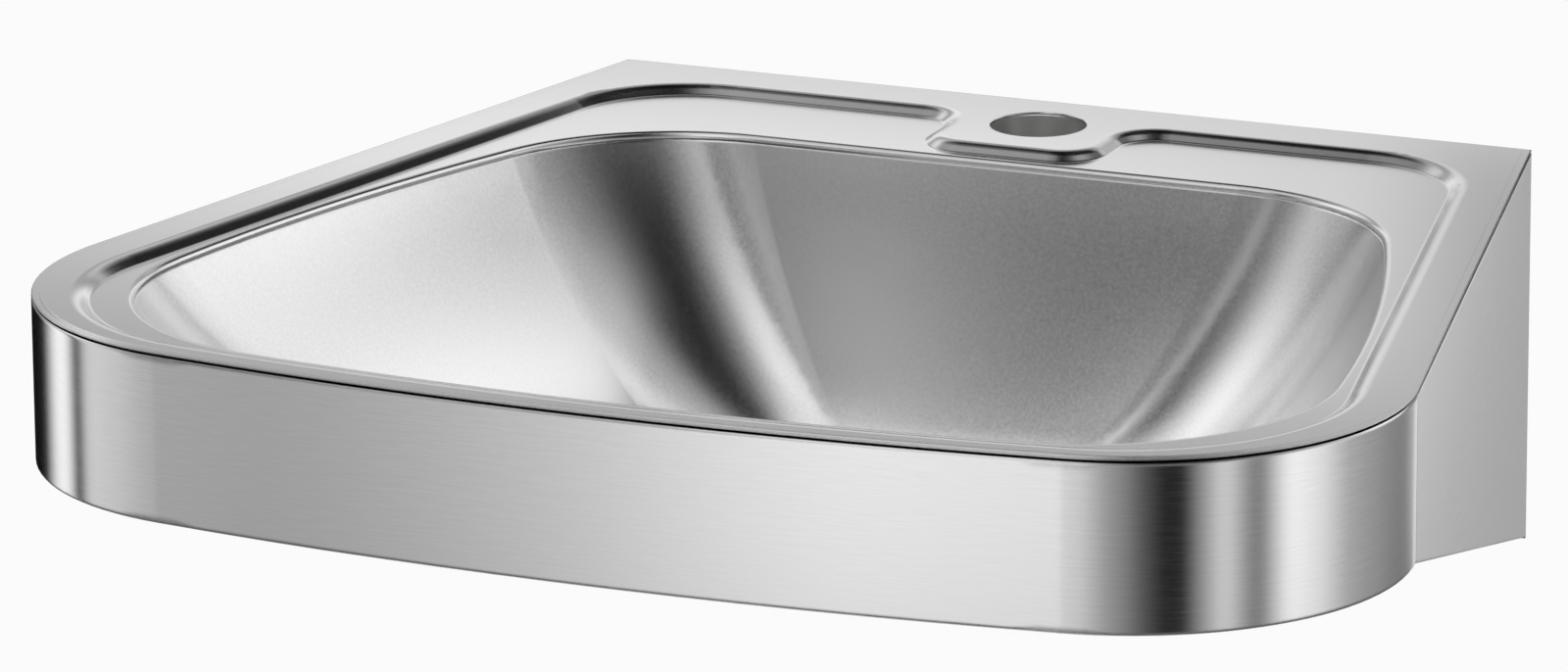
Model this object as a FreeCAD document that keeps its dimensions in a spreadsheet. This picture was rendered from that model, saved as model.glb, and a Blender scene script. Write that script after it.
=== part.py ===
"""Wall-hung hand basin in stainless steel, built as a parametric FreeCAD document.

The frame is +X to the right as the user sees it, +Y into the wall and +Z up. The wall is Y = 0.
The origin is midway between the two fixing holes of the wall bracket, below the deck.
Each piece is drawn with the top of the deck at Z = 0 and then lifted to its height.
"""
import FreeCAD, Part
import os
from math import atan2, cos, degrees, hypot, pi, radians, sin, sqrt, tan
import Sketcher

V = FreeCAD.Vector
doc = FreeCAD.newDocument("hand_basin")
sheet = doc.addObject("Spreadsheet::Sheet", "sizes")
aliases = []

# Driving sizes in millimetres, or in degrees where the name says so
DRIVING = {
    # Deck plan: a trapezoid that widens towards the user, with a bowed front
    "rim_above_fixings": 52,
    "back_width": 352,
    "deck_reach": 429,
    "flare_degrees": 12.2,
    "front_bow_radius": 1185,
    "corner_radius": 95,
    "deck_sheet": 1.2,
    "deck_edge_round": 0.2,
    # Thinned edge of the deck, which leaves the dark joint line between deck and apron
    "edge_sheet": 0.35,
    "joint_reach": 3,
    # Shallow recess between the rim and the bowl
    "recess_drop": 3,
    "recess_run": 4.5,
    "rim_side": 18,
    "rim_front": 12.5,
    "rim_back": 22,
    "recess_back_corner": 48.5,
    "recess_front_corner": 78.5,
    "recess_top_round": 7,
    "recess_foot_round": 1.5,
    # Raised tap ledge, level with the rim
    "ledge_half_width": 30,
    "ledge_front": 64.6,
    "ledge_corner": 12.2,
    "ledge_root": 17.7,
    "tap_hole_radius": 17.5,
    "tap_hole_back": 32.4,
    # Bowl, deepest near the wall
    "bowl_side": 27,
    "bowl_side_middle": 247,
    "bowl_side_radius": 845,
    "bowl_front": 25,
    "bowl_back": 75,
    "bowl_back_corner": 77.5,
    "bowl_front_corner": 85,
    "bowl_neck": 1.5,
    "bowl_neck_round": 2.2,
    "bowl_sheet": 1.2,
    "bowl_depth": 110,
    "bowl_floor_half_width": 72,
    "bowl_floor_length": 126,
    "bowl_floor_back": 48,
    "bowl_floor_back_corner": 46,
    "bowl_floor_front_corner": 44,
    "waste_back": 168,
    "waste_hole_radius": 22.5,
    "waste_seat_radius": 34,
    "waste_seat_drop": 3,
    # Apron and cheeks, folded from one gauge of sheet
    "apron_sheet": 1.2,
    "apron_foot": 59.2,
    "apron_top_return": 11,
    "apron_foot_return": 12,
    "apron_top_round": 0.8,
    "apron_foot_round": 1,
    "cheek_foot": 144.5,
    "cheek_wall_return": 28,
    "cheek_hole_radius": 4.25,
    "cheek_hole_rise": 22.5,
    "cheek_hole_inset": 14,
    "seam_strip_sheet": 1.5,
    "seam_strip_gap": 0.3,
    "seam_strip_half_width": 12,
    # Hanging rail behind the bowl
    "rail_sheet": 1.5,
    "rail_end_inset": 16,
    "rail_reach": 13.5,
    "rail_foot": 70,
    "rail_lip_foot": 24,
    "notch_half_width": 38,
    "notch_foot": 46,
    # Wall bracket that the rail drops onto
    "bracket_sheet": 2.5,
    "bracket_half_width": 130,
    "bracket_margin": 14,
    "bracket_shelf": 30,
    "bracket_reach": 6.5,
    "fixing_hole_radius": 4.5,
    "fixing_half_spacing": 100,
    # Locking screws in nuts welded to the rail
    "lock_half_spacing": 62,
    "lock_rise": 8,
    "lock_thread_radius": 3,
    "lock_head_radius": 5,
    "lock_head_height": 4,
    "lock_socket_flats": 4,
    "lock_socket_depth": 2.2,
    "lock_tip": 0.8,
    "hole_clearance": 0.4,
    "thread_clearance": 0.15,
    "nut_flats": 10,
    "nut_height": 5,
    # Stiffening plate under the tap ledge
    "tap_plate_thickness": 9,
    "tap_plate_half_width": 28,
    "tap_plate_back": 5,
    "tap_plate_front": 61,
    "tap_plate_corner": 8,
    # Damping pad glued under the floor of the bowl
    "pad_thickness": 3,
    "pad_half_width": 48,
    "pad_back": 208,
    "pad_front": 246,
    "pad_corner": 8,
    # Waste fitting for an inch and a quarter trap
    "waste_flange_radius": 31.5,
    "strainer_sheet": 2,
    "strainer_dish_radius": 24,
    "strainer_dish_drop": 1.2,
    "strainer_hole_radius": 2.6,
    "strainer_inner_ring": 9.5,
    "strainer_outer_ring": 16,
    "strainer_skirt_radius": 21.7,
    "strainer_skirt_sheet": 1.2,
    "strainer_skirt_drop": 3,
    "upper_seal_thickness": 1.5,
    "lower_seal_thickness": 2.5,
    "seal_inner_radius": 25,
    "seal_margin": 0.5,
    "waste_tail_radius": 20.95,
    "waste_tail_bore": 17.8,
    "waste_tail_length": 16,
    "waste_body_flange": 2.5,
    "waste_bar_width": 6,
    "waste_bar_height": 4,
    "waste_boss_radius": 6,
    "waste_boss_height": 10,
    "waste_boss_drop": 4,
    "waste_thread_radius": 3,
    "waste_screw_head_radius": 5.5,
    "waste_screw_head_height": 2,
    "waste_screw_slot": 1.2,
    # Earthing point on the left wall return
    "earth_rise": 49.5,
    "earth_inset": 14,
    "earth_thread_radius": 3,
    "earth_stud_length": 15,
    "earth_groove_radius": 2.4,
    "earth_groove_width": 0.6,
    "earth_washer_radius": 6.25,
    "earth_washer_thickness": 1.2,
    # How far a cut runs past what it cuts
    "overrun": 5,
}
STRAINER_INNER_HOLES = 6
STRAINER_OUTER_HOLES = 12
HEXAGON_SIDES = 6

# Bowl sections between the neck and the floor, as shares of a quarter turn
BOWL_TURN_SHARES = (0, 0.25, 0.5, 0.75, 1)
# How much of each wall's lean is straight; the rest is rounded
BOWL_STRAIGHT_SHARE = 0.45

# Lengths that follow from the driving ones
FORMULAS = {
    "half_width": "back_width / 2",
    "bow_centre": "front_bow_radius - deck_reach",
    "recess_slope": "atan(recess_drop / recess_run)",
    "bend_shift": "deck_sheet * tan(recess_slope / 2)",
    "pan_foot": "recess_drop + deck_sheet",
    "neck_foot": "pan_foot + bowl_neck",
    "floor_level": "recess_drop + bowl_depth",
    "waste_seat_level": "floor_level + waste_seat_drop",
    "floor_front_inset": "deck_reach - bowl_front - bowl_back - bowl_floor_back"
                         " - bowl_floor_length",
    "bowl_side_x": "half_width + bowl_side_middle * tan(flare_degrees * 1deg)"
                   " - bowl_side / cos(flare_degrees * 1deg)"
                   " - bowl_side_radius * cos(flare_degrees * 1deg)",
    "bowl_side_y": "0 - bowl_side_middle - bowl_side_radius * sin(flare_degrees * 1deg)",
    "floor_side_inset": "bowl_side_radius - sqrt((bowl_floor_half_width - bowl_side_x) ^ 2"
                        " + (waste_back + bowl_side_y) ^ 2)",
    "cheek_hole_level": "cheek_foot - cheek_hole_rise",
    "earth_level": "cheek_foot - earth_rise",
    "lock_level": "rail_foot - lock_rise",
    "bracket_foot": "lock_level + bracket_margin",
    "corner_start_x": "half_width - corner_radius * cos(flare_degrees * 1deg)",
    "corner_start_y": "0 - corner_radius * sin(flare_degrees * 1deg)",
    "corner_drop": "corner_start_y - bow_centre",
    "corner_along": "corner_start_x * sin(flare_degrees * 1deg)"
                    " - corner_drop * cos(flare_degrees * 1deg)",
    "corner_square": "(front_bow_radius - corner_radius) ^ 2 - corner_start_x ^ 2 - corner_drop ^ 2",
    "side_run": "sqrt(corner_along ^ 2 + corner_square) - corner_along",
    "corner_x": "corner_start_x + side_run * sin(flare_degrees * 1deg)",
    "corner_y": "corner_start_y - side_run * cos(flare_degrees * 1deg)",
}


def fill_sheet():
    """Write the driving sizes and the formulas into the sheet, one alias to a row."""
    cells = [(name, str(number)) for name, number in DRIVING.items()]
    cells += [(name, "=" + formula) for name, formula in FORMULAS.items()]
    for row, (name, content) in enumerate(cells, start=1):
        sheet.set("A%d" % row, name)
        sheet.set("B%d" % row, content)
        sheet.setAlias("B%d" % row, name)
        aliases.append(name)
    doc.recompute()


class Amount:
    """A number together with the formula that ties it to the sheet."""

    def __init__(self, value, text):
        self.value = value
        self.text = text

    def joined(self, sign, other, value):
        return Amount(value, "(%s %s %s)" % (self.text, sign, other.text))

    def __add__(self, other):
        other = as_amount(other)
        return self.joined("+", other, self.value + other.value)

    def __sub__(self, other):
        other = as_amount(other)
        return self.joined("-", other, self.value - other.value)

    def __mul__(self, other):
        other = as_amount(other)
        return self.joined("*", other, self.value * other.value)

    def __truediv__(self, other):
        other = as_amount(other)
        return self.joined("/", other, self.value / other.value)

    def __neg__(self):
        return Amount(-self.value, "(0 - %s)" % self.text)


def as_amount(item):
    """A plain number as an Amount."""
    return item if isinstance(item, Amount) else Amount(float(item), "%.9f" % item)


def cosine(degrees):
    return Amount(cos(radians(degrees.value)), "cos(%s * 1deg)" % degrees.text)


def sine(degrees):
    return Amount(sin(radians(degrees.value)), "sin(%s * 1deg)" % degrees.text)


def tangent(degrees):
    return Amount(tan(radians(degrees.value)), "tan(%s * 1deg)" % degrees.text)


def square_root(amount):
    return Amount(sqrt(amount.value), "sqrt(%s)" % amount.text)


class Sizes:
    """Gives each named size of the sheet as an Amount."""

    def __getattr__(self, name):
        cell = sheet.get(name)
        return Amount(float(getattr(cell, "Value", cell)), "sizes." + name)


fill_sheet()
s = Sizes()
NOTHING = as_amount(0)
QUARTER_TURN = as_amount(90)
HALF_TURN = as_amount(180)
FULL_TURN = as_amount(360)
PI = Amount(pi, "pi")


# Sketching

def fix(sketch, kind, where, amount):
    """Add one dimension and tie it to the sheet."""
    index = sketch.addConstraint(Sketcher.Constraint(kind, *where, amount.value))
    sketch.setExpression("Constraints[%d]" % index, amount.text)


def fix_point(sketch, geometry, point, x, y):
    """Hold one point at a place, measured from the sketch's origin."""
    for kind, axis, amount in (("DistanceX", -2, x), ("DistanceY", -1, y)):
        if abs(amount.value) < 1e-9:
            sketch.addConstraint(Sketcher.Constraint("PointOnObject", geometry, point, axis))
        elif amount.value > 0:
            fix(sketch, kind, (-1, 1, geometry, point), amount)
        else:
            fix(sketch, kind, (geometry, point, -1, 1), -amount)


def polygon(sketch, points):
    """Draw a closed outline of straight lines through points given as pairs of Amounts."""
    start = sketch.GeometryCount
    places = [V(x.value, y.value, 0) for x, y in points]
    for place, following in zip(places, places[1:] + places[:1]):
        sketch.addGeometry(Part.LineSegment(place, following), False)
    count = len(points)
    for number, (x, y) in enumerate(points):
        before = start + (number - 1) % count
        sketch.addConstraint(Sketcher.Constraint("Coincident", before, 2, start + number, 1))
        fix_point(sketch, start + number, 1, x, y)


def rectangle(sketch, left, right, low, high):
    polygon(sketch, [(left, low), (right, low), (right, high), (left, high)])


def circle(sketch, x, y, radius):
    """Draw a circle about a point."""
    place = V(x.value, y.value, 0)
    index = sketch.addGeometry(Part.Circle(place, V(0, 0, 1), radius.value), False)
    fix(sketch, "Radius", (index,), radius)
    fix_point(sketch, index, 3, x, y)


def hexagon(sketch, x, y, flats):
    """Draw a hexagon with a flat at each side, as wide across flats as told."""
    half = flats / 2
    rise = half * tangent(HALF_TURN / HEXAGON_SIDES)
    tip = rise * 2
    polygon(sketch, [(x + half, y - rise), (x + half, y + rise), (x, y + tip),
                     (x - half, y + rise), (x - half, y - rise), (x, y - tip)])


def remembered(name, amount):
    """Give a worked-out length a row of its own in the sheet."""
    row = len(aliases) + 1
    aliases.append(name)
    sheet.set("A%d" % row, name)
    sheet.set("B%d" % row, "=" + amount.text.replace("sizes.", ""))
    sheet.setAlias("B%d" % row, name)
    return Amount(amount.value, "sizes." + name)


def arc_between(start, end, radius, turn):
    """The short arc from one point to another, anticlockwise where the turn is 1."""
    chord = hypot(end[0] - start[0], end[1] - start[1])
    height = sqrt(radius ** 2 - (chord / 2) ** 2) * turn / chord
    centre_x = (start[0] + end[0]) / 2 - (end[1] - start[1]) * height
    centre_y = (start[1] + end[1]) / 2 + (end[0] - start[0]) * height
    first, last = (start, end) if turn > 0 else (end, start)
    begin = atan2(first[1] - centre_y, first[0] - centre_x)
    finish = atan2(last[1] - centre_y, last[0] - centre_x)
    if finish < begin:
        finish += 2 * pi
    round_it = Part.Circle(V(centre_x, centre_y, 0), V(0, 0, 1), radius)
    return Part.ArcOfCircle(round_it, begin, finish)


def trace(sketch, joints):
    """Draw a closed outline through joints, each with the bend that leads to the next one.

    A joint is its two places and then nothing for a straight line, or a radius and a turn.
    """
    start = sketch.GeometryCount
    places = [(joint[0].value, joint[1].value) for joint in joints]
    ends = []
    for number, (place, following) in enumerate(zip(places, places[1:] + places[:1])):
        if len(joints[number]) == 2:
            geometry = Part.LineSegment(V(place[0], place[1], 0), V(following[0], following[1], 0))
            ends.append((1, 2))
        else:
            radius, turn = joints[number][2:]
            geometry = arc_between(place, following, radius.value, turn)
            ends.append((1, 2) if turn > 0 else (2, 1))
        sketch.addGeometry(geometry, False)
    for number, joint in enumerate(joints):
        before = (number - 1) % len(joints)
        link = (start + before, ends[before][1], start + number, ends[number][0])
        sketch.addConstraint(Sketcher.Constraint("Coincident", *link))
        fix_point(sketch, start + number, ends[number][0], joint[0], joint[1])
        if len(joint) > 2:
            fix(sketch, "Radius", (start + number,), joint[2])


def deck_outline(sketch, side=NOTHING, front=NOTHING, back=NOTHING, corner=None,
                 back_corner=None, ledge=None):
    """Draw an outline that keeps within the deck's edge by the insets that are given.

    The sides lean outwards to the front, which is one bowed arc. The back corners are sharp
    unless they have a radius, and a ledge is a notch in the middle of the back.
    """
    stem = "%s_%d_" % (sketch.Label, sketch.GeometryCount)
    lean_x, lean_y = cosine(s.flare_degrees), sine(s.flare_degrees)
    corner = remembered(stem + "corner", corner or s.corner_radius - side)
    line_x = remembered(stem + "line_x", s.half_width - side / lean_x)
    bow = remembered(stem + "bow", s.front_bow_radius - front)
    start_x = remembered(stem + "start_x", line_x - corner * lean_x)
    drop = remembered(stem + "drop", -(corner * lean_y) - s.bow_centre)
    along = remembered(stem + "along", start_x * lean_y - drop * lean_x)
    reach = remembered(stem + "reach", bow - corner)
    under = along * along + reach * reach - start_x * start_x - drop * drop
    run = remembered(stem + "run", square_root(under) - along)
    corner_x = remembered(stem + "corner_x", start_x + run * lean_y)
    corner_y = remembered(stem + "corner_y", s.bow_centre + drop - run * lean_x)
    end = (corner_x + corner * lean_x, corner_y + corner * lean_y)
    bow_end = (corner_x * bow / reach, s.bow_centre + (corner_y - s.bow_centre) * bow / reach)
    joints = []
    if back_corner:
        turn_y = -(back + back_corner)
        turn_x = remembered(stem + "turn_x", line_x - (turn_y * lean_y + back_corner) / lean_x)
        joints.append((turn_x, -back))
        if ledge:
            root, nose = ledge["root"], ledge["corner"]
            half, low = ledge["half_width"], ledge["front"]
            joints.append((half + root, -back, root, 1))
            joints.append((half, -(back + root)))
            joints.append((half, nose - low, nose, -1))
            joints.append((half - nose, -low))
            joints.append((nose - half, -low, nose, -1))
            joints.append((-half, nose - low))
            joints.append((-half, -(back + root), root, 1))
            joints.append((-half - root, -back))
        joints.append((-turn_x, -back, back_corner, 1))
        start = (turn_x + back_corner * lean_x, turn_y + back_corner * lean_y)
    else:
        start = (line_x + back * tangent(s.flare_degrees), -back)
        joints.append(start)
    joints.append((-start[0], start[1]))
    joints.append((-end[0], end[1], corner, 1))
    joints.append((-bow_end[0], bow_end[1], bow, 1))
    joints.append((bow_end[0], bow_end[1], corner, 1))
    joints.append(end)
    if back_corner:
        joints.append((start[0], start[1], back_corner, 1))
    trace(sketch, joints)


# Building bodies

def new_body(label, groups=False):
    """A body that is lifted so that the top of the deck comes to its height."""
    body = doc.addObject("PartDesign::Body", label)
    body.Label = label
    body.AllowCompound = groups
    body.setExpression("Placement.Base.z", s.rim_above_fixings.text)
    return body


def origin_part(body, role):
    return [item for item in body.Origin.OriginFeatures if item.Role == role][0]


def new_sketch(body, name, plane="XY_Plane", offset=NOTHING):
    """A sketch on one of the body's own planes, moved along the plane's normal."""
    sketch = body.newObject("Sketcher::SketchObject", body.Label + "_" + name)
    sketch.AttachmentSupport = [(origin_part(body, plane), "")]
    sketch.MapMode = "FlatFace"
    if offset is not NOTHING:
        sketch.setExpression("AttachmentOffset.Base.z", offset.text)
    return sketch


def pad(body, sketch, length, both_ways=False):
    feature = body.newObject("PartDesign::Pad", sketch.Label + "_pad")
    feature.Profile = sketch
    feature.setExpression("Length", length.text)
    if both_ways:
        feature.SideType = "Symmetric"
    sketch.Visibility = False
    return feature


def pocket(body, sketch, length=None, backwards=False):
    """Cut along the normal, or right through both ways where no length is given."""
    before = body_volume(body)
    feature = body.newObject("PartDesign::Pocket", sketch.Label + "_cut")
    feature.Profile = sketch
    if length is None:
        feature.Type = "ThroughAll"
        feature.SideType = "Symmetric"
    else:
        feature.setExpression("Length", length.text)
        feature.Reversed = backwards
    doc.recompute()
    if not body_volume(body) < before - 1e-3:
        raise RuntimeError(feature.Label + " cut nothing")
    return feature


def body_volume(body):
    doc.recompute()
    return body.Shape.Volume


def loft(body, sketches, cut=False):
    kind = "PartDesign::SubtractiveLoft" if cut else "PartDesign::AdditiveLoft"
    feature = body.newObject(kind, sketches[0].Label + "_loft")
    feature.Profile = sketches[0]
    feature.Sections = sketches[1:]
    return feature


def revolve(body, sketch):
    feature = body.newObject("PartDesign::Revolution", sketch.Label + "_turn")
    feature.Profile = sketch
    feature.ReferenceAxis = (origin_part(body, "Z_Axis"), [""])
    return feature


def edge_names(shape, wanted):
    """Names of the edges that a test picks."""
    return ["Edge%d" % (number + 1) for number, edge in enumerate(shape.Edges) if wanted(edge)]


def at_level(edge, level):
    return all(abs(vertex.Z - level) < 1e-4 for vertex in edge.Vertexes)


def wire_edges(shape, level, count):
    """Edges of the closed wire with a given number of edges that lies flat at one level."""
    for face in shape.Faces:
        for wire in face.Wires:
            edges = wire.Edges
            if len(edges) == count and all(at_level(edge, level) for edge in edges):
                return edges
    raise RuntimeError("no wire of %d edges at %.2f" % (count, level))


def fillet(body, base, radius, wanted):
    """Round the edges that a test picks."""
    doc.recompute()
    names = edge_names(base.Shape, wanted)
    if not names:
        raise RuntimeError(body.Label + " has no edge to round")
    feature = body.newObject("PartDesign::Fillet", body.Label + "_round")
    feature.Base = (base, names)
    feature.setExpression("Radius", radius.text)
    doc.recompute()
    return feature


def same_edges(edges):
    """A test that picks an edge which is one of those given."""
    return lambda edge: any(edge.isSame(other) for other in edges)


# The pieces

def recess_outline(sketch, inset):
    """Edge of the recess, or of its foot where the inset is the wall's run."""
    deck_outline(sketch, side=s.rim_side + inset, front=s.rim_front + inset,
                 back=s.rim_back + inset, corner=s.recess_front_corner - inset,
                 back_corner=s.recess_back_corner - inset,
                 ledge={"half_width": s.ledge_half_width + inset, "front": s.ledge_front + inset,
                        "corner": s.ledge_corner + inset, "root": s.ledge_root - inset})


def bowl_outline(sketch, outset=NOTHING, side=NOTHING, front=NOTHING, back=NOTHING,
                 corner=s.bowl_front_corner, back_corner=s.bowl_back_corner):
    """Opening of the bowl, with further insets for its lower sections.

    The sides and the front are bowed arcs, and an arc in each corner touches both neighbours.
    """
    stem = sketch.Label + "_"
    corner = remembered(stem + "corner", corner + outset)
    back_corner = remembered(stem + "back_corner", back_corner + outset)
    side_radius = remembered(stem + "side_radius", s.bowl_side_radius - side + outset)
    bow = remembered(stem + "bow", s.front_bow_radius - s.bowl_front - front + outset)
    back_y = remembered(stem + "back_y", -(s.bowl_back + back - outset))
    turn_y = remembered(stem + "turn_y", back_y - back_corner)
    near = side_radius - back_corner
    rise = turn_y - s.bowl_side_y
    turn_x = remembered(stem + "turn_x", s.bowl_side_x + square_root(near * near - rise * rise))
    start_x = s.bowl_side_x + (turn_x - s.bowl_side_x) * side_radius / near
    start_y = s.bowl_side_y + rise * side_radius / near
    far = remembered(stem + "far", side_radius - corner)
    reach = remembered(stem + "reach", bow - corner)
    run_x = -s.bowl_side_x
    run_y = s.bow_centre - s.bowl_side_y
    apart = remembered(stem + "apart", square_root(run_x * run_x + run_y * run_y))
    along = remembered(stem + "along",
                       (far * far - reach * reach + apart * apart) / (apart * 2))
    off = remembered(stem + "off", square_root(far * far - along * along))
    corner_x = remembered(stem + "corner_x",
                          s.bowl_side_x + (run_x * along + run_y * off) / apart)
    corner_y = remembered(stem + "corner_y",
                          s.bowl_side_y + (run_y * along - run_x * off) / apart)
    end_x = s.bowl_side_x + (corner_x - s.bowl_side_x) * side_radius / far
    end_y = s.bowl_side_y + (corner_y - s.bowl_side_y) * side_radius / far
    bow_x = corner_x * bow / reach
    bow_y = s.bow_centre + (corner_y - s.bow_centre) * bow / reach
    trace(sketch, [(turn_x, back_y), (-turn_x, back_y, back_corner, 1),
                   (-start_x, start_y, side_radius, 1), (-end_x, end_y, corner, 1),
                   (-bow_x, bow_y, bow, 1), (bow_x, bow_y, corner, 1),
                   (end_x, end_y, side_radius, 1), (start_x, start_y, back_corner, 1)])


def make_deck():
    """Pressed deck with its recess, tap ledge and the neck that the bowl is welded to."""
    body = new_body("deck")
    edge = new_sketch(body, "edge", offset=-s.edge_sheet)
    deck_outline(edge)
    pad(body, edge, s.edge_sheet)
    plate = new_sketch(body, "plate", offset=-s.deck_sheet)
    deck_outline(plate, side=s.joint_reach, front=s.joint_reach)
    pad(body, plate, s.deck_sheet)
    pan = []
    for inset, level in ((-s.bend_shift, s.deck_sheet), (s.recess_run - s.bend_shift, s.pan_foot)):
        pan.append(new_sketch(body, "pan_%d" % len(pan), offset=-level))
        recess_outline(pan[-1], inset)
    loft(body, pan)
    neck = new_sketch(body, "neck", offset=-s.neck_foot)
    bowl_outline(neck, outset=s.bowl_sheet)
    pad(body, neck, s.bowl_neck)
    recess = []
    for inset, level in ((NOTHING, NOTHING), (s.recess_run, s.recess_drop)):
        recess.append(new_sketch(body, "recess_%d" % len(recess), offset=-level))
        recess_outline(recess[-1], inset)
    loft(body, recess, cut=True)
    opening = new_sketch(body, "opening")
    bowl_outline(opening)
    pocket(body, opening)
    tap_hole = new_sketch(body, "tap_hole")
    circle(tap_hole, NOTHING, -s.tap_hole_back, s.tap_hole_radius)
    cut = pocket(body, tap_hole)
    doc.recompute()
    drop = s.recess_drop.value
    rounds = ((s.recess_top_round, 0, 16), (s.recess_foot_round, -drop, 16),
              (s.bowl_neck_round, -drop, 8), (s.deck_edge_round, 0, 6))
    for radius, level, count in rounds:
        edges = wire_edges(cut.Shape, level, count)
        cut = fillet(body, cut, radius, same_edges(edges))
    return body


def bowl_sections(body, name, wall):
    """Sections of the bowl's inside, or of its outside where the wall has a thickness."""
    sections = []
    fall = s.floor_level - s.neck_foot
    for share in BOWL_TURN_SHARES:
        turn = share * pi / 2
        depth = sin(turn)
        lean = BOWL_STRAIGHT_SHARE * depth + (1 - BOWL_STRAIGHT_SHARE) * (1 - cos(turn))
        level = s.neck_foot + (fall + wall) * depth
        section = new_sketch(body, "%s_%d" % (name, len(sections)), offset=-level)
        back_corner = s.bowl_back_corner - (s.bowl_back_corner - s.bowl_floor_back_corner) * lean
        corner = s.bowl_front_corner - (s.bowl_front_corner - s.bowl_floor_front_corner) * lean
        bowl_outline(section, outset=wall * cos(turn), side=s.floor_side_inset * lean,
                     front=s.floor_front_inset * lean, back=s.bowl_floor_back * lean,
                     corner=corner, back_corner=back_corner)
        sections.append(section)
    return sections


def make_bowl():
    """Pressed bowl: a steep back, sides and front that lean in, and a seat for the waste."""
    body = new_body("bowl")
    loft(body, bowl_sections(body, "outside", s.bowl_sheet))
    below = new_sketch(body, "seat_outside", offset=-(s.waste_seat_level + s.bowl_sheet))
    circle(below, NOTHING, -s.waste_back, s.waste_seat_radius + s.bowl_sheet)
    pad(body, below, s.waste_seat_drop + s.bowl_sheet)
    loft(body, bowl_sections(body, "inside", NOTHING), cut=True)
    seat = new_sketch(body, "seat", offset=-s.waste_seat_level)
    circle(seat, NOTHING, -s.waste_back, s.waste_seat_radius)
    pocket(body, seat, s.waste_seat_drop + s.bowl_sheet, backwards=True)
    hole = new_sketch(body, "waste_hole")
    circle(hole, NOTHING, -s.waste_back, s.waste_hole_radius)
    pocket(body, hole)
    return body


def seam_cut(sketch, back_off=NOTHING):
    """Outline of all that lies behind the seams, square to each straight side."""
    reach = s.corner_radius + s.overrun
    near_x = s.corner_x - back_off * sine(s.flare_degrees)
    near_y = s.corner_y + back_off * cosine(s.flare_degrees)
    far_x = near_x + reach * cosine(s.flare_degrees)
    far_y = near_y + reach * sine(s.flare_degrees)
    polygon(sketch, [(near_x, near_y), (far_x, far_y), (far_x, s.overrun),
                     (-far_x, s.overrun), (-far_x, far_y), (-near_x, near_y)])


def make_apron():
    """Front band with both corner bends, turned in along its top and its foot."""
    body = new_body("apron")
    bands = (("wall", s.apron_sheet, s.apron_foot, s.apron_foot - s.deck_sheet),
             ("top_return", s.apron_top_return, s.deck_sheet + s.apron_sheet, s.apron_sheet),
             ("foot_return", s.apron_foot_return, s.apron_foot, s.apron_sheet))
    for name, width, foot, height in bands:
        band = new_sketch(body, name, offset=-foot)
        deck_outline(band)
        deck_outline(band, side=width, front=width, back=width)
        pad(body, band, height)
    behind = new_sketch(body, "behind_the_seams")
    seam_cut(behind)
    cut = pocket(body, behind)
    rounds = ((s.apron_top_round, -s.deck_sheet), (s.apron_foot_round, -s.apron_foot))
    for radius, level in rounds:
        cut = fillet(body, cut, radius, lambda edge: at_level(edge, level.value)
                     and outermost(edge))
    return body


def outermost(edge):
    """Whether an edge lies on the deck's own outline, in front of the seams."""
    middle = edge.valueAt((edge.FirstParameter + edge.LastParameter) / 2)
    bow = hypot(middle.x, middle.y - s.bow_centre.value)
    bend = hypot(abs(middle.x) - s.corner_x.value, middle.y - s.corner_y.value)
    on_bow = abs(bow - s.front_bow_radius.value) < 1e-3
    return on_bow or abs(bend - s.corner_radius.value) < 1e-3


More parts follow.
